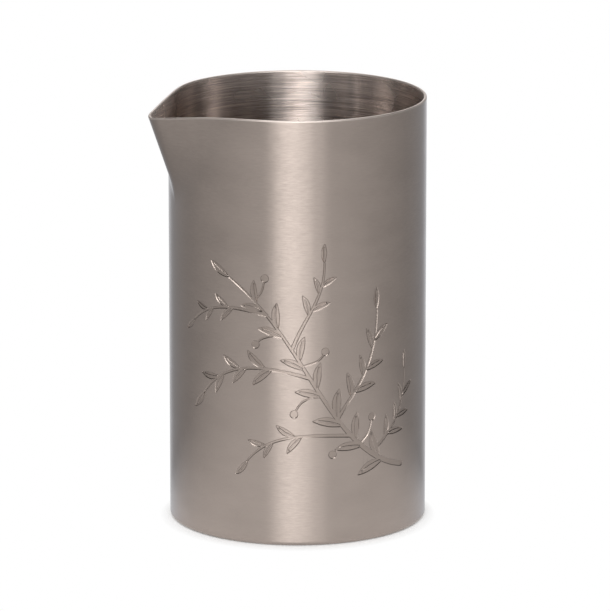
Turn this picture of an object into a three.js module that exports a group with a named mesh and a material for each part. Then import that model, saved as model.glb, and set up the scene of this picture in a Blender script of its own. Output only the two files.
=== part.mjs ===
// Double-walled steel mixing tin with a pouring spout pressed through both walls.
// Millimetres, +Z up. The origin is the centre of the flat foot and the spout points along -X.

import * as THREE from 'three';

// Body
const BODY_DIAMETER = 90;
const BODY_HEIGHT = 150;

// Sheets, and the room left where one sheet slides inside another
const SHELL_THICKNESS = 0.4;
const LINER_THICKNESS = 0.4;
const CAP_THICKNESS = 0.6;
const SHEET_CLEARANCE = 0.3;

// Spout: a rounded crease that flares straight out from a soft root to the tip, between two flat cheeks
// that run on into the round body
const SPOUT_REACH = 9.1;
const SPOUT_DEPTH = 35.5;
const SPOUT_DROP = 4.5;
const SPOUT_TIP_RADIUS = 9;
const SPOUT_ROOT_BLEND = 1.9;

// The rim dips over this arc on each side of the spout, and the dip is round over a small arc at the tip
const DIP_DEGREES = 56;
const DIP_ROUND_DEGREES = 2;

// Liner: a drawn cup with draft, so that an air gap opens below the rim
const LINER_DRAFT_DEGREES = 1.4;
const LINER_FLOOR_HEIGHT = 6;
const LINER_CORNER_RADIUS = 10;

// Base cap: a pressed pan whose skirt stands inside the shell
const CAP_SKIRT_HEIGHT = 5;
const CAP_BEND_RADIUS = 0.6;

// Facets
const SPOUT_ARC_STEPS = 12;
const BODY_ARC_STEPS = 21;
const SPOUT_LEVELS = 10;
const CORNER_STEPS = 5;
const EDGE_STEPS = 3;
const LIP_STEPS = 6;

// Values that the pieces share
const BODY_RADIUS = BODY_DIAMETER / 2;
const RIM_WALL = SHELL_THICKNESS + SHEET_CLEARANCE + LINER_THICKNESS;
const LIP_RADIUS = RIM_WALL / 2;
const SHEET_TOP = BODY_HEIGHT - LIP_RADIUS;
const SPOUT_ROOT_HEIGHT = SHEET_TOP - SPOUT_DEPTH;
const LINER_INSET = SHELL_THICKNESS + SHEET_CLEARANCE;
const CAP_RADIUS = BODY_RADIUS - SHELL_THICKNESS - SHEET_CLEARANCE;
const FOOT_EDGE_RADIUS = CAP_BEND_RADIUS + CAP_THICKNESS;
const DRAFT_SLOPE = Math.tan(THREE.MathUtils.degToRad(LINER_DRAFT_DEGREES));

const STEEL = { metalness: 1, side: THREE.FrontSide };
const satinSteel = new THREE.MeshStandardMaterial({ ...STEEL, color: 0xb8aea8, roughness: 0.38 });
const linerSteel = new THREE.MeshStandardMaterial({ ...STEEL, color: 0xa69d98, roughness: 0.42 });
const capSteel = new THREE.MeshStandardMaterial({ ...STEEL, color: 0xb0a7a2, roughness: 0.45 });
const dressedWeld = new THREE.MeshStandardMaterial({ ...STEEL, color: 0xcdc5c0, roughness: 0.28 });

// Plan of the spout at one level, rise 0 at the root and 1 at the rim: the centre of the tip's circle, and
// the direction that the cheek on each side of it faces, as an angle from the spout. Each cheek touches
// the tip's circle at one end and the round body at the other.
function spoutPlan(rise) {
  const flare = THREE.MathUtils.lerp(-SPOUT_ROOT_BLEND, SPOUT_REACH, rise);
  const blended = (flare + SPOUT_ROOT_BLEND) ** 2 / (4 * SPOUT_ROOT_BLEND);
  const reach = flare < SPOUT_ROOT_BLEND ? blended : flare;
  const tipCentre = BODY_RADIUS + reach - SPOUT_TIP_RADIUS;
  return { tipCentre, facing: Math.acos((BODY_RADIUS - SPOUT_TIP_RADIUS) / tipCentre) };
}

const SPOUT_HALF_ARC = spoutPlan(1).facing;

// Radius of the wall at an angle from the spout, for the surface that lies inset inside the shell's
// outer face: the tip's arc, then the cheek, then the round body.
function wallRadius(angle, rise, inset) {
  const { tipCentre, facing } = spoutPlan(rise);
  const bodyRadius = BODY_RADIUS - inset;
  const turn = Math.abs(angle);
  if (turn >= facing) return bodyRadius;

  const tip = SPOUT_TIP_RADIUS - inset;
  const tipEnd = Math.atan2(tip * Math.sin(facing), tipCentre + tip * Math.cos(facing));
  if (turn > tipEnd) return bodyRadius / Math.cos(facing - turn);

  const sideways = tipCentre * Math.sin(turn);
  return tipCentre * Math.cos(turn) + Math.sqrt(tip * tip - sideways * sideways);
}

// Height of the sheet's top edge, which dips as the wall is pressed out into the spout.
function edgeHeight(angle) {
  const turn = Math.hypot(THREE.MathUtils.radToDeg(angle), DIP_ROUND_DEGREES);
  return SHEET_TOP - SPOUT_DROP * Math.max(0, 1 - turn / DIP_DEGREES) ** 2;
}

// Rows of a wall. Each row gives a radius and a height for every angle from the spout.
const roundRow = (radius, height) => () => ({ radius, height });

const spoutRow = (rise, inset) => (angle) => ({
  radius: wallRadius(angle, rise, inset),
  height: THREE.MathUtils.lerp(SPOUT_ROOT_HEIGHT, edgeHeight(angle), rise),
});

const lipRow = (inset, lift) => (angle) => ({
  radius: wallRadius(angle, 1, inset),
  height: edgeHeight(angle) + lift,
});

// Angles from the spout for the facets all round, closest together at the tip.
function facetAngles() {
  const half = [];
  for (let step = 1; step <= SPOUT_ARC_STEPS; step += 1) {
    half.push(SPOUT_HALF_ARC * (step / SPOUT_ARC_STEPS) ** 2);
  }
  for (let step = 1; step < BODY_ARC_STEPS; step += 1) {
    half.push(THREE.MathUtils.lerp(SPOUT_HALF_ARC, Math.PI, step / BODY_ARC_STEPS));
  }
  const mirrored = half.map((angle) => -angle).reverse();
  return [0, ...half, Math.PI, ...mirrored];
}

// Skin through rows that run up the outside of a piece and down its inside. A ring closes on its
// first row. A cup starts and ends in a point on the axis. Facets split along their shorter diagonal,
// so that nested sheets are split alike.
function skin(rows, closing) {
  const angles = facetAngles();
  const points = [];
  const rowStart = [];
  const isPoint = (index) => closing === 'cup' && (index === 0 || index === rows.length - 1);
  rows.forEach((row, index) => {
    rowStart.push(points.length);
    for (const angle of isPoint(index) ? [0] : angles) {
      const { radius, height } = row(angle);
      points.push(new THREE.Vector3(-radius * Math.cos(angle), -radius * Math.sin(angle), height));
    }
  });

  const vertex = (index, step) => rowStart[index] + (isPoint(index) ? 0 : step % angles.length);
  const length = (from, to) => points[from].distanceTo(points[to]);
  const faces = [];
  const lastRow = closing === 'ring' ? rows.length : rows.length - 1;
  for (let index = 0; index < lastRow; index += 1) {
    const next = (index + 1) % rows.length;
    for (let step = 0; step < angles.length; step += 1) {
      const [a, b] = [vertex(index, step), vertex(index, step + 1)];
      const [d, c] = [vertex(next, step), vertex(next, step + 1)];
      if (isPoint(index)) faces.push(a, c, d);
      else if (isPoint(next)) faces.push(a, b, c);
      else if (length(a, c) <= length(b, d)) faces.push(a, b, c, a, c, d);
      else faces.push(a, b, d, b, c, d);
    }
  }
  const geometry = new THREE.BufferGeometry().setFromPoints(points);
  geometry.setIndex(faces);
  geometry.computeVertexNormals();
  return geometry;
}

// Points along a round corner of a profile, both ends included.
function arcPoints(centreX, centreY, radius, startDegrees, endDegrees, steps) {
  const points = [];
  for (let step = 0; step <= steps; step += 1) {
    const turn = THREE.MathUtils.degToRad(THREE.MathUtils.lerp(startDegrees, endDegrees, step / steps));
    points.push(new THREE.Vector2(centreX + radius * Math.cos(turn), centreY + radius * Math.sin(turn)));
  }
  return points;
}

const spoutRises = Array.from({ length: SPOUT_LEVELS + 1 }, (unused, level) => level / SPOUT_LEVELS);

// Outer shell: the rolled tube with the spout, open at both ends. It stops short of the floor, where
// the foot weld takes over.
function outerShell() {
  const outside = spoutRises.map((rise) => spoutRow(rise, 0));
  const inside = spoutRises.map((rise) => spoutRow(rise, SHELL_THICKNESS)).reverse();
  const rows = [
    roundRow(BODY_RADIUS, FOOT_EDGE_RADIUS),
    ...outside,
    ...inside,
    roundRow(BODY_RADIUS - SHELL_THICKNESS, FOOT_EDGE_RADIUS),
  ];
  return skin(rows, 'ring');
}

// Inset of the liner's outer face, which grows with the depth below the rim.
function linerInset(height) {
  return LINER_INSET + DRAFT_SLOPE * (SHEET_TOP - height);
}

// One face of the liner, from the middle of its floor up to the rim. The inner face lies a sheet's
// thickness inside the outer one.
function linerFace(thickness) {
  const cornerHeight = LINER_FLOOR_HEIGHT + LINER_CORNER_RADIUS;
  const cornerCentre = BODY_RADIUS - linerInset(cornerHeight) - LINER_CORNER_RADIUS;
  const cornerRadius = LINER_CORNER_RADIUS - thickness;
  const corner = arcPoints(cornerCentre, cornerHeight, cornerRadius, -90, 0, CORNER_STEPS);
  const wall = spoutRises.map((rise) => {
    const height = THREE.MathUtils.lerp(SPOUT_ROOT_HEIGHT, SHEET_TOP, rise);
    return spoutRow(rise, linerInset(height) + thickness);
  });
  return [
    roundRow(0, LINER_FLOOR_HEIGHT + thickness),
    ...corner.map((point) => roundRow(point.x, point.y)),
    ...wall,
  ];
}

// Inner liner: the cup that holds the drink, with the same spout as the shell around it.
function innerLiner() {
  return skin([...linerFace(0), ...linerFace(LINER_THICKNESS).reverse()], 'cup');
}

// Rim weld: the bead along the edges of both sheets, dressed to a round lip that follows the spout.
function rimWeld() {
  const crown = [];
  for (let step = 0; step <= LIP_STEPS; step += 1) {
    const turn = (Math.PI * step) / LIP_STEPS;
    crown.push(lipRow(LIP_RADIUS - LIP_RADIUS * Math.cos(turn), LIP_RADIUS * Math.sin(turn)));
  }
  return skin([...crown, lipRow(LINER_INSET, 0), lipRow(SHELL_THICKNESS, 0)], 'ring');
}

// Solid of revolution about the tin's axis, with facets that line up from piece to piece.
function turned(profile) {
  const segments = 2 * (SPOUT_ARC_STEPS + BODY_ARC_STEPS);
  return new THREE.LatheGeometry(profile, segments).rotateX(Math.PI / 2);
}

// Round outer corner of the base cap, from its flat underside to its skirt.
function capCorner() {
  const centre = CAP_RADIUS - FOOT_EDGE_RADIUS;
  return arcPoints(centre, FOOT_EDGE_RADIUS, FOOT_EDGE_RADIUS, -90, 0, EDGE_STEPS);
}

// Base cap: the flat foot and the skirt that locates it in the shell.
function baseCap() {
  const centre = CAP_RADIUS - FOOT_EDGE_RADIUS;
  const inside = arcPoints(centre, FOOT_EDGE_RADIUS, CAP_BEND_RADIUS, 0, -90, EDGE_STEPS);
  return turned([
    new THREE.Vector2(0, 0),
    ...capCorner(),
    new THREE.Vector2(CAP_RADIUS, CAP_SKIRT_HEIGHT),
    new THREE.Vector2(CAP_RADIUS - CAP_THICKNESS, CAP_SKIRT_HEIGHT),
    ...inside,
    new THREE.Vector2(0, CAP_THICKNESS),
  ]);
}

// Foot weld: the bead that fills the corner between the shell's lower edge and the base cap, ground
// to the rounded edge of the foot.
function footWeld() {
  const centre = BODY_RADIUS - FOOT_EDGE_RADIUS;
  const edge = arcPoints(centre, FOOT_EDGE_RADIUS, FOOT_EDGE_RADIUS, -90, 0, EDGE_STEPS);
  const seat = capCorner().reverse();
  return turned([...edge, ...seat, edge[0]]);
}

function piece(name, geometry, material) {
  const mesh = new THREE.Mesh(geometry, material);
  mesh.name = name;
  return mesh;
}

const mixingTin = new THREE.Group();
mixingTin.add(
  piece('outer_shell', outerShell(), satinSteel),
  piece('inner_liner', innerLiner(), linerSteel),
  piece('base_cap', baseCap(), capSteel),
  piece('rim_weld', rimWeld(), dressedWeld),
  piece('foot_weld', footWeld(), dressedWeld),
);

export default mixingTin;
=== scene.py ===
import math

import bpy
import numpy as np
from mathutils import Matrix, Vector
from mathutils.geometry import delaunay_2d_cdt


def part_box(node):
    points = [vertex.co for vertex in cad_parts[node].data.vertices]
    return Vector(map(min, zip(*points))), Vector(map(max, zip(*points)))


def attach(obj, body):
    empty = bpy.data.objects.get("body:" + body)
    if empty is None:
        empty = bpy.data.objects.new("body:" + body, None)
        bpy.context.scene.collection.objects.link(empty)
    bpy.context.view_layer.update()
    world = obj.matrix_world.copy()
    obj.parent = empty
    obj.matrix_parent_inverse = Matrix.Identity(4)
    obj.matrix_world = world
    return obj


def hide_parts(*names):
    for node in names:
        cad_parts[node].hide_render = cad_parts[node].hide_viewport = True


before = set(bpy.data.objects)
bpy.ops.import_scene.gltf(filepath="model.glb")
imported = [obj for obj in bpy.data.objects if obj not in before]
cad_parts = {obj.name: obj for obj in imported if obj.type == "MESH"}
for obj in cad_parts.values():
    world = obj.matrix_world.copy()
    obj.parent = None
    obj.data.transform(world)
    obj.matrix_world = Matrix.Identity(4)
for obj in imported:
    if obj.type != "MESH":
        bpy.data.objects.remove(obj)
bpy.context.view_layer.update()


# Brushed lines: the fine scratches that an abrasive belt leaves on every steel face of the tin. They run
# round the axis, spaced by height on the walls and by distance from the axis on the flat base. Each line
# tilts the face a little, so the lines show most where the light on them is strong.
NOISE_LOW = 0.3
NOISE_MIDDLE = 0.5
NOISE_HIGH = 0.7
NOISE_ROUGHNESS = 0.75
LINE_DETAIL = 4.0
LINE_TOOTH = 0.000003
LINE_SWAY = 0.05
CLOUDS_PER_METRE = 90.0
CLOUDS_ROUND = 1.6
CLOUD_DETAIL = 2.0
GLOSS_SWING = 0.02
QUARTER_TURN = 0.25


def shader_node(tree, kind, settings, inputs):
    """Adds a node. Each input is a value to set or another node's output to link."""
    made = tree.nodes.new(kind)
    for key, value in settings.items():
        setattr(made, key, value)
    for key, value in inputs.items():
        if isinstance(value, bpy.types.NodeSocket):
            tree.links.new(value, made.inputs[key])
        else:
            made.inputs[key].default_value = value
    return made


def number_math(tree, operation, first, second):
    """One step of arithmetic on two numbers."""
    return shader_node(tree, "ShaderNodeMath", {"operation": operation}, {0: first, 1: second}).outputs[0]


def vector_math(tree, operation, inputs, output="Vector"):
    """One step of arithmetic on vectors. A result that is a number is the output called Value."""
    return shader_node(tree, "ShaderNodeVectorMath", {"operation": operation}, inputs).outputs[output]


def map_range(tree, value, low, high, to_low=0.0, to_high=1.0):
    """A number moved from one range to another, and held inside it."""
    inputs = {"Value": value, "From Min": low, "From Max": high, "To Min": to_low, "To Max": to_high}
    return shader_node(tree, "ShaderNodeMapRange", {}, inputs).outputs[0]


def mixed_colour(tree, blend, share, first, second):
    """Two colours blended by a share. A mix node has them at inputs 6 and 7 and gives one at output 2."""
    settings = {"data_type": "RGBA", "blend_type": blend}
    return shader_node(tree, "ShaderNodeMix", settings, {0: share, 6: first, 7: second}).outputs[2]


def grey(level):
    """An opaque grey."""
    return level, level, level, 1


lines = bpy.data.node_groups.new("brushed_lines", "ShaderNodeTree")
for label in ("Rings", "Lines per metre", "Strokes round", "Sway", "Nod"):
    lines.interface.new_socket(label, in_out="INPUT", socket_type="NodeSocketFloat")
for label in ("Lines", "Clouds"):
    lines.interface.new_socket(label, in_out="OUTPUT", socket_type="NodeSocketFloat")
lines.interface.new_socket("Normal", in_out="OUTPUT", socket_type="NodeSocketVector")
asked = lines.nodes.new("NodeGroupInput").outputs
place = shader_node(lines, "ShaderNodeTexCoord", {}, {}).outputs["Object"]
split = shader_node(lines, "ShaderNodeSeparateXYZ", {}, {0: place}).outputs
level_place = shader_node(lines, "ShaderNodeCombineXYZ", {}, {"X": split["X"], "Y": split["Y"]}).outputs[0]
from_axis = vector_math(lines, "LENGTH", {0: level_place}, "Value")
outward = vector_math(lines, "NORMALIZE", {0: level_place})
# Across the lines is up a wall, or out from the axis where they are rings. A mix node takes numbers at
# inputs 2 and 3.
across = shader_node(
    lines, "ShaderNodeMix", {"data_type": "FLOAT"}, {0: asked["Rings"], 2: split["Z"], 3: from_axis}
).outputs[0]


def stroke_noise(per_metre, strokes, detail):
    """Noise drawn out round the axis."""
    count = number_math(lines, "MULTIPLY", across, per_metre)
    lifted = shader_node(lines, "ShaderNodeCombineXYZ", {}, {"Z": count}).outputs[0]
    swept = vector_math(lines, "SCALE", {0: outward, "Scale": strokes})
    spot = vector_math(lines, "ADD", {0: swept, 1: lifted})
    inputs = {"Vector": spot, "Scale": 1.0, "Detail": detail, "Roughness": NOISE_ROUGHNESS}
    return shader_node(lines, "ShaderNodeTexNoise", {}, inputs).outputs[0]


fine = stroke_noise(asked["Lines per metre"], asked["Strokes round"], LINE_DETAIL)
off_middle = number_math(lines, "SUBTRACT", fine, NOISE_MIDDLE)
along_line = vector_math(lines, "CROSS_PRODUCT", {0: (0, 0, 1), 1: outward})
sideways = vector_math(lines, "SCALE", {0: along_line, "Scale": asked["Sway"]})
upward = shader_node(lines, "ShaderNodeCombineXYZ", {}, {"Z": asked["Nod"]}).outputs[0]
tilt_way = vector_math(lines, "ADD", {0: sideways, 1: upward})
tilt = vector_math(lines, "SCALE", {0: tilt_way, "Scale": off_middle})
straight = shader_node(lines, "ShaderNodeNewGeometry", {}, {}).outputs["Normal"]
tilted = vector_math(lines, "ADD", {0: straight, 1: tilt})
shader_node(
    lines,
    "NodeGroupOutput",
    {},
    {
        "Lines": fine,
        "Clouds": stroke_noise(CLOUDS_PER_METRE, CLOUDS_ROUND, CLOUD_DETAIL),
        "Normal": vector_math(lines, "NORMALIZE", {0: tilted}),
    },
)


def brushed_steel(
    name,
    dark,
    light,
    roughness,
    spread,
    per_metre,
    strokes,
    rings=0,
    tooth=LINE_TOOTH,
    sway=LINE_SWAY,
    nod=0.0,
):
    """Stainless steel brushed round the axis. Returns the material, its surface node and its colour."""
    steel = bpy.data.materials.new(name)
    steel.use_nodes = True
    tree = steel.node_tree
    tree.nodes.clear()
    belt = {"Rings": rings, "Lines per metre": per_metre, "Strokes round": strokes, "Sway": sway, "Nod": nod}
    brush = shader_node(tree, "ShaderNodeGroup", {"node_tree": lines}, belt).outputs
    shade = map_range(tree, brush["Lines"], NOISE_LOW, NOISE_HIGH)
    tone = mixed_colour(tree, "MIX", shade, (*dark, 1), (*light, 1))
    smoothest, roughest = roughness - GLOSS_SWING, roughness + GLOSS_SWING
    gloss = map_range(tree, brush["Clouds"], NOISE_LOW, NOISE_HIGH, smoothest, roughest)
    relief = shader_node(
        tree,
        "ShaderNodeBump",
        {},
        {"Height": brush["Lines"], "Distance": tooth, "Strength": 1.0, "Normal": brush["Normal"]},
    ).outputs[0]
    sweep = shader_node(tree, "ShaderNodeTangent", {"direction_type": "RADIAL", "axis": "Z"}, {}).outputs[0]
    metal = shader_node(
        tree,
        "ShaderNodeBsdfPrincipled",
        {},
        {
            "Base Color": tone,
            "Roughness": gloss,
            "Metallic": 1.0,
            "Anisotropic": spread,
            "Anisotropic Rotation": QUARTER_TURN,
            "Normal": relief,
            "Tangent": sweep,
        },
    )
    shader_node(tree, "ShaderNodeOutputMaterial", {}, {"Surface": metal.outputs[0]})
    return steel, metal, tone


# Outer shell: a straight tube of thin stainless sheet, with its top pressed out into a pinched spout.
# It is brushed round the body to a satin finish, and a leafy sprig is etched into one side of it.
shell_low, shell_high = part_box("outer_shell")
BODY_RADIUS = shell_high.x
SHEET_TOP = shell_high.z
SHELL_FOOT = shell_low.z
SHELL_THICKNESS = 0.0004
SPOUT_REACH = -shell_low.x - BODY_RADIUS
SPOUT_HEIGHT = 0.0355
SPOUT_ROOT = SHEET_TOP - SPOUT_HEIGHT
SPOUT_DROP = 0.0045
SPOUT_TIP_RADIUS = 0.009
SPOUT_ROOT_BLEND = 0.0019
DIP_ARC = math.radians(56)
DIP_ROUND = math.radians(2)
SPOUT_LEVELS = np.linspace(0, 1, 37)
SPOUT_STEPS = 52
SPOUT_CROWDING = 1.5
BODY_STEPS = 66
CRISP_EDGE = math.radians(28)


def spout_plan(rise):
    """Centre of the tip's circle, and the way its cheeks face, from 0 at the root to 1 at the rim."""
    flare = -SPOUT_ROOT_BLEND + (SPOUT_REACH + SPOUT_ROOT_BLEND) * rise
    blended = (flare + SPOUT_ROOT_BLEND) ** 2 / (4 * SPOUT_ROOT_BLEND)
    centre = BODY_RADIUS + (blended if flare < SPOUT_ROOT_BLEND else flare) - SPOUT_TIP_RADIUS
    return centre, math.acos((BODY_RADIUS - SPOUT_TIP_RADIUS) / centre)


SPOUT_HALF_ARC = spout_plan(1)[1]
round_spout = SPOUT_HALF_ARC * np.linspace(0, 1, SPOUT_STEPS) ** SPOUT_CROWDING
round_body = np.linspace(SPOUT_HALF_ARC, math.pi, BODY_STEPS)[1:]
half_way = np.concatenate((round_spout, round_body))
AROUND = np.concatenate((-half_way[-2:0:-1], half_way))
COUNT = len(AROUND)


def wall_radius(rise, inset):
    """Distance from the axis all round a wall: the tip's arc, a cheek on each side, then the round body."""
    centre, facing = spout_plan(rise)
    turn = np.abs(AROUND)
    body, tip = BODY_RADIUS - inset, SPOUT_TIP_RADIUS - inset
    tip_end = math.atan2(tip * math.sin(facing), centre + tip * math.cos(facing))
    on_tip = centre * np.cos(turn) + np.sqrt(np.maximum(tip**2 - (centre * np.sin(turn)) ** 2, 0))
    on_cheek = body / np.cos(np.clip(facing - turn, 0, None))
    return np.where(turn <= tip_end, on_tip, on_cheek)


def edge_height():
    """Height of the sheet's top edge all round, which dips as the wall is pressed out into the spout."""
    return SHEET_TOP - SPOUT_DROP * np.maximum(0, 1 - np.hypot(AROUND, DIP_ROUND) / DIP_ARC) ** 2


def ring(radius, height):
    """One closed row of points round the axis."""
    row = np.empty((COUNT, 3))
    row[:, 0] = -radius * np.cos(AROUND)
    row[:, 1] = -radius * np.sin(AROUND)
    row[:, 2] = height
    return row


def spout_ring(rise, inset):
    """One row of a wall that follows the spout."""
    return ring(wall_radius(rise, inset), SPOUT_ROOT + (edge_height() - SPOUT_ROOT) * rise)


def band(lower, upper, steps=range(COUNT)):
    """The four-sided faces between two rows, counted from the first row of the piece."""
    lower, upper = lower * COUNT, upper * COUNT
    return [(lower + s, lower + (s + 1) % COUNT, upper + (s + 1) % COUNT, upper + s) for s in steps]


def closed_bands(row_count, first=0):
    """The faces of a body whose last row meets its first, from one of its rows on."""
    return [face for row in range(first, row_count) for face in band(row, (row + 1) % row_count)]


def steel_piece(name, points, faces, steel, node, normals=None):
    """A solid with smooth faces and crisp edges, which rides on the tin and stands for a node of it."""
    mesh = bpy.data.meshes.new(name)
    mesh.from_pydata(np.asarray(points).tolist(), [], faces)
    mesh.polygons.foreach_set("use_smooth", [True] * len(mesh.polygons))
    mesh.set_sharp_from_angle(angle=CRISP_EDGE)
    if normals is not None:
        mesh.normals_split_custom_set(normals)
    mesh.materials.append(steel)
    piece = bpy.data.objects.new(name, mesh)
    bpy.context.scene.collection.objects.link(piece)
    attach(piece, "root")
    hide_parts(node)
    return piece


# The sprig is laid out flat, in metres along the wall from its middle and up from the foot. Its curves are
# given in millimetres.
MM = 1000
SPRIG_MIDDLE = math.radians(71)
SPRIG_LOW = 0.02
SPRIG_HIGH = 0.112
SPRIG_HALF_ARC = 1.15
ETCH_DEPTH = 0.0002
ETCH_SLOPE = 0.00024
ETCH_PLAIN_BELOW = 0.06
ETCH_FLOOR_ABOVE = 0.94
RIB_HALF_WIDTH = 0.00012
RIB_SLOPE = 0.00014
RIB_START = -0.75
RIB_END = 0.55
RIB_STEPS = 9
STEM_END_STEPS = 13
MAIN_STEM_STEPS = 61
TWIG_STEPS = 37
TWIG_THICK = 0.0007
TWIG_THIN = 0.0004
STALK_STEPS = 8
STALK_THICK = 0.00042
STALK_THIN = 0.00036
STALK_PULL = np.array((0.75, 0.35))
BERRY_STEPS = 33
BERRY_RADIUS = 0.0015
LEAF_STEPS = 19
LEAF_WIDTH = 0.3
LEAF_BEND = 0.07
LEAF_LAST = 0.97
LEAF_STAGGER = 0.25
LEAF_SHRINK = 0.3
LEAF_LENGTH_WAVE = (0.06, 4.1)
LEAF_LEAN = 46
LEAF_LEAN_LOSS = 12
LEAF_LEAN_WAVE = (4, 2.3)
END_LEAF_LENGTH = 0.8
END_LEAF_WIDTH = 0.24
END_LEAF_BEND = 0.03
outlines, stems, leaves, berries, ribs = [], [], [], [], []


def curve(start, leave, arrive, end, count):
    """Points along a curve with two handles, given in millimetres."""
    t = np.linspace(0, 1, count)[:, None]
    start, leave, arrive, end = (np.asarray(p, float) / MM for p in (start, leave, arrive, end))
    return (1 - t) ** 3 * start + 3 * (1 - t) ** 2 * t * leave + 3 * (1 - t) * t**2 * arrive + t**3 * end


def etch_stem(points, thick, thin):
    """A stem that tapers along its points."""
    radii = np.linspace(thick, thin, len(points))
    stems.append((points, radii))
    along = np.gradient(points, axis=0)
    along /= np.linalg.norm(along, axis=1)[:, None]
    side = np.column_stack((-along[:, 1], along[:, 0]))
    lean = np.linspace(0, math.pi, STEM_END_STEPS)[1:-1, None]
    for inset in (0, ETCH_SLOPE):
        reach = (radii - inset)[:, None]
        end = points[-1] + reach[-1] * (np.cos(lean) * side[-1] + np.sin(lean) * along[-1])
        start = points[0] - reach[0] * (np.cos(lean) * side[0] + np.sin(lean) * along[0])
        outlines.append(np.concatenate((points + reach * side, end, (points - reach * side)[::-1], start)))


def etch_leaf(root, heading, length, width, bend):
    """A lance-shaped leaf with a raised rib, from its root point along a heading in radians."""
    along = np.array((math.cos(heading), math.sin(heading)))
    side = np.array((-along[1], along[0]))
    half = length / 2
    middle = np.asarray(root) + along * half
    arc = (half**2 + (width / 2) ** 2) / width
    sagitta = arc - width / 2
    leaves.append((middle, along, side, half, arc, sagitta, bend))

    def placed(x, y):
        bowed = y + bend * (1 - (x / half) ** 2)
        return middle + x[:, None] * along + bowed[:, None] * side

    for inset in (0, ETCH_SLOPE):
        end = math.sqrt((arc - inset) ** 2 - sagitta**2)
        x = end * np.sin(np.linspace(-math.pi / 2, math.pi / 2, LEAF_STEPS))
        y = np.sqrt((arc - inset) ** 2 - x**2) - sagitta
        outlines.append(np.concatenate((placed(x, y), placed(x[-2:0:-1], -y[-2:0:-1]))))
    rib = placed(np.linspace(RIB_START, RIB_END, RIB_STEPS) * half, np.zeros(RIB_STEPS))
    ribs.append(rib)
    for reach in (RIB_HALF_WIDTH, RIB_HALF_WIDTH + RIB_SLOPE):
        outlines.append(np.concatenate((rib + reach * side, (rib - reach * side)[::-1])))


def etch_berry(centre, radius):
    """A round berry."""
    turn = np.linspace(0, 2 * math.pi, BERRY_STEPS)[:-1]
    berries.append((centre, radius))
    for inset in (0, ETCH_SLOPE):
        outlines.append(centre + (radius - inset) * np.column_stack((np.cos(turn), np.sin(turn))))


def etch_leafy_stem(points, thick, thin, leaf_length, first, pairs):
    """A twig with leaves on both sides, and one at its end."""
    etch_stem(points, thick, thin)
    slope = np.gradient(points, axis=0)
    heading = np.arctan2(slope[:, 1], slope[:, 0])
    length_swing, length_phase = LEAF_LENGTH_WAVE
    lean_swing, lean_phase = LEAF_LEAN_WAVE
    for index in range(pairs):
        share = first + (LEAF_LAST - first) * index / pairs
        shrunk = leaf_length * (1 - LEAF_SHRINK * share)
        length = shrunk * (1 + length_swing * math.sin(length_phase * index))
        for hand in (1, -1):
            later = LEAF_STAGGER * (hand < 0) * (LEAF_LAST - first) / pairs
            at = int((share + later) * (len(points) - 1))
            swing = lean_swing * math.sin(lean_phase * index + hand)
            lean = hand * math.radians(LEAF_LEAN - LEAF_LEAN_LOSS * share + swing)
            bend = -hand * LEAF_BEND * length
            etch_leaf(points[at], heading[at] + lean, length, LEAF_WIDTH * length, bend)
    etch_leaf(
        points[-1],
        heading[-1],
        END_LEAF_LENGTH * leaf_length,
        END_LEAF_WIDTH * leaf_length,
        END_LEAF_BEND * leaf_length,
    )


def etch_berry_stalk(start, offset):
    """A short curved stalk that carries one berry, from a point in metres by an offset in millimetres."""
    start = start * MM
    end = start + offset
    pull = start + STALK_PULL * offset
    points = curve(start, pull, pull, end, STALK_STEPS)
    etch_stem(points, STALK_THICK, STALK_THIN)
    etch_berry(points[-1], BERRY_RADIUS)


main_stem = curve((41, 25), (8, 32), (4, 76), (-25, 94), MAIN_STEM_STEPS)
etch_leafy_stem(main_stem, thick=0.0011, thin=0.0004, leaf_length=0.012, first=0.1, pairs=7)
for root, leave, arrive, end, leaf_length, first, pairs in (
    (10, (33, 36), (43, 42), (43, 58), 0.0095, 0.3, 3),
    (22, (17, 52), (29, 60), (29, 82), 0.0105, 0.32, 3),
    (40, (2, 82), (9, 87), (9, 100), 0.009, 0.4, 2),
    (17, (2, 40), (-10, 40), (-18, 30), 0.0095, 0.4, 2),
    (33, (-10, 64), (-25, 66), (-36, 52), 0.0105, 0.32, 3),
    (49, (-22, 84), (-32, 85), (-41, 77), 0.0085, 0.4, 2),
):
    twig = curve(main_stem[root] * MM, leave, arrive, end, TWIG_STEPS)
    etch_leafy_stem(twig, TWIG_THICK, TWIG_THIN, leaf_length, first, pairs)
for root, offset in (
    (14, (5, 9)),
    (15, (-9, -4)),
    (29, (-9, -7)),
    (36, (8, 5)),
    (44, (-9, -4)),
    (53, (4, 8)),
):
    etch_berry_stalk(main_stem[root], np.array(offset))


def along_segment(spots, start, end):
    """How far along a straight segment each spot is, from 0 to 1, and how far away from it."""
    run = end - start
    share = np.clip((spots - start) @ run / (run @ run), 0, 1)
    return share, np.linalg.norm(spots - start - share[:, None] * run, axis=1)


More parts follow.
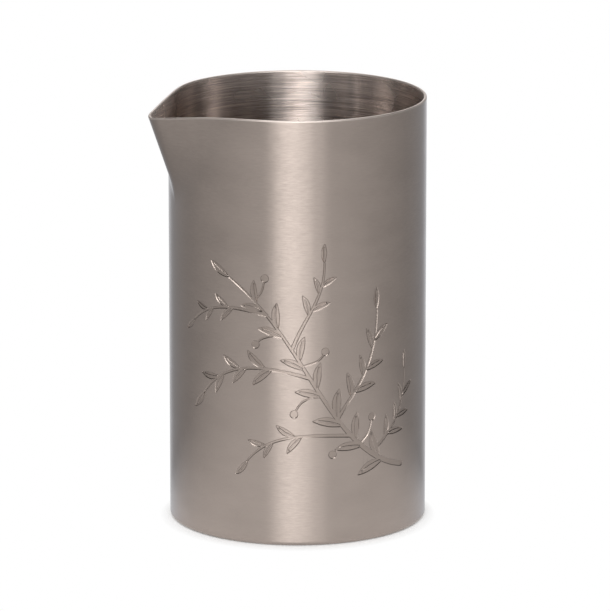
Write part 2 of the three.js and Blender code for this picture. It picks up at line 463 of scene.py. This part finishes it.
def etched_share(spots):
    """How deep the etching is at flat points, from 0 on the plain wall to 1 on its floor."""
    inside = np.full(len(spots), -1.0)
    for points, radii in stems:
        for start, end, thick, thin in zip(points[:-1], points[1:], radii[:-1], radii[1:]):
            share, away = along_segment(spots, start, end)
            inside = np.maximum(inside, thick + (thin - thick) * share - away)
    for middle, along, side, half, arc, sagitta, bend in leaves:
        x = (spots - middle) @ along
        y = (spots - middle) @ side - bend * (1 - (x / half) ** 2)
        inside = np.maximum(inside, arc - np.hypot(x, np.abs(y) + sagitta))
    for centre, radius in berries:
        inside = np.maximum(inside, radius - np.linalg.norm(spots - centre, axis=1))
    depth = np.clip(inside / ETCH_SLOPE, 0, 1)
    for rib in ribs:
        for start, end in zip(rib[:-1], rib[1:]):
            away = along_segment(spots, start, end)[1]
            depth = np.minimum(depth, np.clip((away - RIB_HALF_WIDTH) / RIB_SLOPE, 0, 1))
    return np.where(depth < ETCH_PLAIN_BELOW, 0, np.where(depth > ETCH_FLOOR_ABOVE, 1, depth))


FOOT_ROW, LOW_ROW, HIGH_ROW, ROOT_ROW = range(4)
shell_rows = [ring(BODY_RADIUS, height) for height in (SHELL_FOOT, SPRIG_LOW, SPRIG_HIGH)]
shell_rows += [spout_ring(rise, 0) for rise in SPOUT_LEVELS]
shell_rows += [spout_ring(rise, SHELL_THICKNESS) for rise in SPOUT_LEVELS[::-1]]
shell_rows.append(ring(BODY_RADIUS - SHELL_THICKNESS, SHELL_FOOT))
shell_points = np.concatenate(shell_rows)

# The wall around the sprig is cut into narrow upright strips, so that each facet follows the round body.
MERGE_MM = 1e-4
EVERY_TRIANGLE = 0
strips = np.flatnonzero(np.abs(AROUND - SPRIG_MIDDLE) < SPRIG_HALF_ARC)
strip_spots = BODY_RADIUS * (AROUND[strips] - SPRIG_MIDDLE)
flat = [(x, SPRIG_LOW) for x in strip_spots] + [(x, SPRIG_HIGH) for x in strip_spots]
width = len(strips)
cuts = [(i, i + 1) for i in range(width - 1)] + [(width + i, width + i + 1) for i in range(width - 1)]
cuts += [(i, width + i) for i in range(width)]
for outline in outlines:
    first = len(flat)
    flat += [tuple(spot) for spot in outline]
    cuts += [(first + i, first + (i + 1) % len(outline)) for i in range(len(outline))]
flat += [tuple(spot) for stem in stems for spot in stem[0][1:-1]]
flat_mm = [Vector((MM * x, MM * y)) for x, y in flat]
cut_wall = delaunay_2d_cdt(flat_mm, cuts, [], EVERY_TRIANGLE, MERGE_MM)
spots = np.array([tuple(spot) for spot in cut_wall[0]]) / MM
triangles, sources = cut_wall[2:4]
depth = etched_share(spots)
turn = SPRIG_MIDDLE + spots[:, 0] / BODY_RADIUS
reach = BODY_RADIUS - ETCH_DEPTH * depth
etched_points = np.column_stack((-reach * np.cos(turn), -reach * np.sin(turn), spots[:, 1]))
kept = {}
for index, source in enumerate(sources):
    corner = min(source, default=len(flat))
    if corner < 2 * width:
        kept[index] = (LOW_ROW + corner // width) * COUNT + strips[corner % width]
new_places = {}
for index in range(len(spots)):
    if index not in kept:
        new_places[index] = len(shell_points) + len(new_places)
shell_points = np.concatenate((shell_points, etched_points[list(new_places)]))
places = {**kept, **new_places}

# Faces on the round body take its normals. The etched slopes and the rest of the sheet keep their own.
plain_steps = sorted(set(range(COUNT)) - set(strips[:-1].tolist()))
round_faces = band(FOOT_ROW, LOW_ROW) + band(LOW_ROW, HIGH_ROW, plain_steps) + band(HIGH_ROW, ROOT_ROW)
slope_faces = []
for triangle in triangles:
    depths = depth[list(triangle)]
    kind = round_faces if depths.max() == 0 or depths.min() == 1 else slope_faces
    kind.append(tuple(int(places[index]) for index in triangle))
other_faces = closed_bands(len(shell_rows), first=ROOT_ROW)
shell_normals = []
for face in round_faces:
    for x, y in shell_points[list(face), :2]:
        shell_normals.append((x / math.hypot(x, y), y / math.hypot(x, y), 0))
shell_normals += [(0, 0, 0)] * sum(len(face) for face in slope_faces + other_faces)

SATIN_EDGE_TINT = (0.84, 0.89, 0.95, 1)
ETCH_SLOPE_GREY = 0.63
ETCH_SLOPE_STOPS = (0.25, 0.75)
ETCH_FLOOR_TINT = (0.9, 0.89, 0.88, 1)
satin_steel, satin_metal, satin_tone = brushed_steel(
    "satin_steel",
    dark=(0.425, 0.360, 0.323),
    light=(0.470, 0.399, 0.357),
    roughness=0.31,
    spread=1.0,
    per_metre=2600,
    strokes=16,
    nod=0.33,
)
satin_metal.inputs["Specular Tint"].default_value = SATIN_EDGE_TINT
tree = satin_steel.node_tree
# The colour is darker on the etched slopes, and a little darker on the etched floor.
etched = shader_node(tree, "ShaderNodeAttribute", {"attribute_name": "etched"}, {}).outputs["Fac"]
etch_tint = shader_node(tree, "ShaderNodeValToRGB", {}, {"Fac": etched})
stops = etch_tint.color_ramp.elements
stops[0].color = grey(1)
stops[1].color = ETCH_FLOOR_TINT
for position in ETCH_SLOPE_STOPS:
    stops.new(position).color = grey(ETCH_SLOPE_GREY)
etch_darkened_tone = mixed_colour(tree, "MULTIPLY", 1.0, satin_tone, etch_tint.outputs["Color"])
tree.links.new(etch_darkened_tone, satin_metal.inputs["Base Color"])

shell = steel_piece(
    "satin_shell",
    shell_points,
    round_faces + slope_faces + other_faces,
    satin_steel,
    "outer_shell",
    shell_normals,
)
depth_mark = np.zeros(len(shell_points))
for index, point in places.items():
    depth_mark[point] = depth[index]
shell.data.attributes.new("etched", "FLOAT", "POINT").data.foreach_set("value", depth_mark)


# Inner liner: the cup that holds the drink, drawn from one sheet with a little draft and a round floor
# corner, and pressed into the same spout. It is brushed round the inside in long, coarse lines.
LINER_THICKNESS = 0.0004
LINER_INSET = 0.0007
LINER_DRAFT = math.tan(math.radians(1.4))
LINER_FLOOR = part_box("inner_liner")[0].z
LINER_CORNER_RADIUS = 0.01
LINER_CORNER_STEPS = 13
DISC_RINGS = (0.05, 0.35, 0.7)


def disc_rows(radius, height):
    """Rows of a flat disc, from near its middle towards its edge."""
    return [ring(share * radius, height) for share in DISC_RINGS]


def liner_face(thickness):
    """Rows of one face of the liner, from the middle of its floor up to the rim."""
    corner_height = LINER_FLOOR + LINER_CORNER_RADIUS
    wall_foot = BODY_RADIUS - LINER_INSET - LINER_DRAFT * (SHEET_TOP - corner_height)
    corner_centre = wall_foot - LINER_CORNER_RADIUS
    bend = LINER_CORNER_RADIUS - thickness
    rows = disc_rows(corner_centre, LINER_FLOOR + thickness)
    for turn in np.linspace(-math.pi / 2, 0, LINER_CORNER_STEPS):
        rows.append(ring(corner_centre + bend * math.cos(turn), corner_height + bend * math.sin(turn)))
    for rise in SPOUT_LEVELS:
        height = SPOUT_ROOT + (SHEET_TOP - SPOUT_ROOT) * rise
        rows.append(spout_ring(rise, LINER_INSET + LINER_DRAFT * (SHEET_TOP - height) + thickness))
    return rows


def cup(rows, low_middle, high_middle):
    """Points and faces of a body whose rows run from a point under its floor to one on top of it."""
    points = np.concatenate(rows + [np.array([(0, 0, low_middle), (0, 0, high_middle)])])
    last = (len(rows) - 1) * COUNT
    low, high = len(points) - 2, len(points) - 1
    faces = [face for row in range(len(rows) - 1) for face in band(row, row + 1)]
    faces += [((s + 1) % COUNT, s, low) for s in range(COUNT)]
    faces += [(last + s, last + (s + 1) % COUNT, high) for s in range(COUNT)]
    return points, faces


liner_points, liner_faces = cup(
    liner_face(0) + liner_face(LINER_THICKNESS)[::-1], LINER_FLOOR, LINER_FLOOR + LINER_THICKNESS
)
liner_steel = brushed_steel(
    "liner_steel",
    dark=(0.27, 0.238, 0.221),
    light=(0.94, 0.824, 0.761),
    roughness=0.27,
    spread=1.0,
    per_metre=2600,
    strokes=2,
    sway=0.06,
    nod=0.06,
)[0]
liner = steel_piece("brushed_liner", liner_points, liner_faces, liner_steel, "inner_liner")


# Rim weld: the bead that joins the top edges of both sheets, ground and polished to a thin round lip
# that follows the spout.
LIP_RADIUS = (LINER_INSET + LINER_THICKNESS) / 2
LIP_STEPS = 13
lip_rows = []
for turn in np.linspace(0, math.pi, LIP_STEPS):
    inset = LIP_RADIUS - LIP_RADIUS * math.cos(turn)
    lip_rows.append(ring(wall_radius(1, inset), edge_height() + LIP_RADIUS * math.sin(turn)))
for inset in (LINER_INSET, SHELL_THICKNESS):
    lip_rows.append(ring(wall_radius(1, inset), edge_height()))
# Painted highlight: this steel is lighter than the shell's and the foot's, for the light line along the rim.
lip_steel = brushed_steel(
    "lip_steel",
    dark=(0.56, 0.495, 0.457),
    light=(0.64, 0.566, 0.523),
    roughness=0.5,
    spread=0.0,
    per_metre=5000,
    strokes=4,
)[0]
lip_faces = closed_bands(len(lip_rows))
lip = steel_piece("polished_lip", np.concatenate(lip_rows), lip_faces, lip_steel, "rim_weld")


# Base cap: a shallow pan pressed from thicker sheet, pushed up inside the shell to close the foot. Its
# underside is turned flat in fine rings.
CAP_THICKNESS = 0.0006
CAP_BEND = 0.0006
CAP_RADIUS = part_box("base_cap")[1].x
CAP_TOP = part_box("base_cap")[1].z
FOOT_EDGE = CAP_BEND + CAP_THICKNESS
FOOT_EDGE_STEPS = 9


def corner_rows(centre, radius, start, end):
    """Rows along a round edge of the foot, by angle in the upright section."""
    return [
        ring(centre + radius * math.cos(turn), FOOT_EDGE + radius * math.sin(turn))
        for turn in np.linspace(math.radians(start), math.radians(end), FOOT_EDGE_STEPS)
    ]


cap_centre = CAP_RADIUS - FOOT_EDGE
cap_rows = disc_rows(cap_centre, 0)
cap_rows += corner_rows(cap_centre, FOOT_EDGE, -90, 0)
cap_rows += [ring(CAP_RADIUS, CAP_TOP), ring(CAP_RADIUS - CAP_THICKNESS, CAP_TOP)]
cap_rows += corner_rows(cap_centre, CAP_BEND, 0, -90)
cap_rows += disc_rows(cap_centre, CAP_THICKNESS)[::-1]
cap_points, cap_faces = cup(cap_rows, 0, CAP_THICKNESS)
base_steel = brushed_steel(
    "base_steel",
    dark=(0.40, 0.342, 0.308),
    light=(0.48, 0.412, 0.372),
    roughness=0.42,
    spread=0.7,
    per_metre=2500,
    strokes=1.5,
    rings=1,
    tooth=0.00001,
)[0]
base = steel_piece("turned_base", cap_points, cap_faces, base_steel, "base_cap")


# Foot weld: the bead between the shell's lower edge and the base cap, ground to the tight round edge
# that the tin stands on.
foot_rows = corner_rows(BODY_RADIUS - FOOT_EDGE, FOOT_EDGE, -90, 0)
foot_rows += corner_rows(cap_centre, FOOT_EDGE, 0, -90)
# Painted shade: this steel is darker than the rim's lip, which is the same kind of weld, for the dark line
# where the tin stands on the table.
shaded_foot_steel = brushed_steel(
    "shaded_foot_steel",
    dark=(0.36, 0.309, 0.280),
    light=(0.42, 0.361, 0.327),
    roughness=0.36,
    spread=0.3,
    per_metre=5000,
    strokes=4,
)[0]
foot_faces = closed_bands(len(foot_rows))
foot = steel_piece("ground_foot", np.concatenate(foot_rows), foot_faces, shaded_foot_steel, "foot_weld")


# Floor: a round pale table top, seen from above only. It shows white, as the backdrop does. Close round the
# tin's foot it keeps the lamps' real soft shadow, and adds painted shade there: a fade, leaning a little
# towards the camera, from dim lit paint near the foot to full white sets how far that shadow reaches.
FLOOR_RADIUS = 0.11
FLOOR_PAINT = 0.9
FLOOR_LIFT = 0.18
FLOOR_MIDDLE = (-0.0167, -0.0471, -0.0002)
SHADOW_REACH = 0.0062
SHADOW_LEAN = (-0.0008, -0.0024, 0)
WHITE = grey(1)


def ray_kinds(tree):
    """1 for the camera's rays, and 1 for rays that a shiny or clear surface has turned."""
    rays = shader_node(tree, "ShaderNodeLightPath", {}, {}).outputs
    turned = number_math(tree, "MAXIMUM", rays["Is Glossy Ray"], rays["Is Transmission Ray"])
    return rays["Is Camera Ray"], turned


floor_mesh = bpy.data.meshes.new("table_top")
floor_mesh.from_pydata((ring(FLOOR_RADIUS, 0) + FLOOR_MIDDLE).tolist(), [], [tuple(range(COUNT))])
floor = bpy.data.objects.new("table_top", floor_mesh)
bpy.context.scene.collection.objects.link(floor)
pale = bpy.data.materials.new("pale_table")
pale.use_nodes = True
tree = pale.node_tree
tree.nodes.clear()
floor_place = shader_node(tree, "ShaderNodeTexCoord", {}, {}).outputs["Object"]
leaned = vector_math(tree, "SUBTRACT", {0: floor_place, 1: SHADOW_LEAN})
from_foot = vector_math(tree, "LENGTH", {0: leaned}, "Value")
# Painted shade: over this ring, leaned towards the camera, the floor goes from lit paint with a dim white
# glow near the foot to full white glow, so the shadow stops where the ring ends.
shadow_start = BODY_RADIUS - Vector(SHADOW_LEAN).length
shadow_end = shadow_start + SHADOW_REACH
tint = map_range(tree, from_foot, shadow_start, shadow_end, FLOOR_PAINT, 0.0)
whiteness = map_range(tree, from_foot, shadow_start, shadow_end, FLOOR_LIFT, 1.0)
seen, turned = ray_kinds(tree)
lift = number_math(tree, "MULTIPLY", number_math(tree, "MAXIMUM", seen, turned), whiteness)
paint = shader_node(tree, "ShaderNodeBsdfDiffuse", {}, {"Color": tint}).outputs[0]
glow = shader_node(tree, "ShaderNodeEmission", {}, {"Color": WHITE, "Strength": lift}).outputs[0]
upper = shader_node(tree, "ShaderNodeAddShader", {}, {0: paint, 1: glow}).outputs[0]
under = shader_node(tree, "ShaderNodeNewGeometry", {}, {}).outputs["Backfacing"]
clear = shader_node(tree, "ShaderNodeBsdfTransparent", {}, {}).outputs[0]
one_sided = shader_node(tree, "ShaderNodeMixShader", {}, {0: under, 1: upper, 2: clear}).outputs[0]
shader_node(tree, "ShaderNodeOutputMaterial", {}, {"Surface": one_sided})
floor_mesh.materials.append(pale)


# Studio: grey walls that are lighter in front and fade out upwards, a white backdrop behind the tin, a
# large soft box in front that is brightest near its middle, and another above. Angles are in degrees.
CAMERA_PLACE = Vector((-0.63552, -1.79466, 0.5353))
BEHIND = Vector((-CAMERA_PLACE.x, -CAMERA_PLACE.y, 0)).normalized()
BACKDROP_HALF_ANGLE = 20
BACKDROP_BLEND = 8
FRONT_GREY = 1.04
FRONT_HALF_ANGLE = 40
ROOM_GREY = 0.54
ROOM_HALF_ANGLE = 66
GROUND_SHADE = 0.45
CEILING_SHADE = 0.0
WALL_SHADES = ((-40, 0.6), (-10, 0.85), (6, 1.0), (12, 0.68), (18, 0.18), (30, 0.02))
LAMP_AIM = Vector((0, 0, 0.08))
world = bpy.data.worlds.new("studio")
bpy.context.scene.world = world
world.use_nodes = True
tree = world.node_tree
tree.nodes.clear()
way = shader_node(tree, "ShaderNodeTexCoord", {}, {}).outputs["Generated"]
level_way = vector_math(tree, "MULTIPLY", {0: way, 1: (1, 1, 0)})
compass = vector_math(tree, "NORMALIZE", {0: level_way})
facing = vector_math(tree, "DOT_PRODUCT", {0: compass, 1: BEHIND}, "Value")
backdrop_edge = math.cos(math.radians(BACKDROP_HALF_ANGLE + BACKDROP_BLEND))
backdrop_full = math.cos(math.radians(BACKDROP_HALF_ANGLE - BACKDROP_BLEND))
backdrop = map_range(tree, facing, backdrop_edge, backdrop_full)
seen, turned = ray_kinds(tree)
shows_white = number_math(tree, "MAXIMUM", seen, number_math(tree, "MULTIPLY", turned, backdrop))
front_end = -math.cos(math.radians(FRONT_HALF_ANGLE))
room_start = math.cos(math.radians(ROOM_HALF_ANGLE))
walls = map_range(tree, facing, front_end, room_start, FRONT_GREY, ROOM_GREY)
climb = shader_node(tree, "ShaderNodeSeparateXYZ", {}, {0: way}).outputs["Z"]
fade = shader_node(tree, "ShaderNodeValToRGB", {}, {"Fac": map_range(tree, climb, -1.0, 1.0)})
stops = fade.color_ramp.elements
stops[0].color = grey(GROUND_SHADE)
stops[1].color = grey(CEILING_SHADE)
for height, shade in WALL_SHADES:
    stops.new((1 + math.sin(math.radians(height))) / 2).color = grey(shade)
faded = fade.outputs["Color"]
room = shader_node(tree, "ShaderNodeBackground", {}, {"Color": walls, "Strength": faded}).outputs[0]
white = shader_node(tree, "ShaderNodeBackground", {}, {"Color": WHITE, "Strength": 1.0}).outputs[0]
mixed = shader_node(tree, "ShaderNodeMixShader", {}, {0: shows_white, 1: room, 2: white}).outputs[0]
shader_node(tree, "ShaderNodeOutputWorld", {}, {"Surface": mixed})


def soft_box(name, turn, height, distance, wide, tall, power):
    """A soft box that looks at the tin, turned round from the camera's side by an angle in degrees."""
    lamp = bpy.data.lights.new(name, "AREA")
    lamp.shape = "RECTANGLE"
    lamp.size = wide
    lamp.size_y = tall
    lamp.energy = power
    box = bpy.data.objects.new(name, lamp)
    bpy.context.scene.collection.objects.link(box)
    side = math.atan2(CAMERA_PLACE.y, CAMERA_PLACE.x) + math.radians(turn)
    rise = math.radians(height)
    away = Vector((math.cos(side) * math.cos(rise), math.sin(side) * math.cos(rise), math.sin(rise)))
    box.location = LAMP_AIM + distance * away
    box.rotation_euler = away.to_track_quat("Z", "Y").to_euler()
    box.visible_camera = False


soft_box("front_box", turn=0, height=38, distance=1.3, wide=1.08, tall=0.9, power=6.2)
soft_box("middle_box", turn=-3.5, height=38, distance=1.3, wide=0.66, tall=0.9, power=6.0)
soft_box("strip_box", turn=-5, height=38, distance=1.3, wide=0.3, tall=0.9, power=1.8)
soft_box("top_box", turn=180, height=74, distance=1.2, wide=1.0, tall=1.0, power=5)


# Camera: a long lens beside the tin, a little towards the spout and higher than the rim. It looks slightly
# down at the whole body.
LENS_MM = 329.0
SENSOR_MM = 36
CAMERA_TILT = math.radians(76.4)
CAMERA_TURN = math.radians(-19.579)
lens = bpy.data.cameras.new("camera")
lens.lens = LENS_MM
lens.sensor_width = SENSOR_MM
camera = bpy.data.objects.new("camera", lens)
camera.location = CAMERA_PLACE
camera.rotation_euler = (CAMERA_TILT, 0, CAMERA_TURN)
bpy.context.scene.collection.objects.link(camera)
bpy.context.scene.camera = camera
bpy.context.scene.view_settings.view_transform = "Standard"
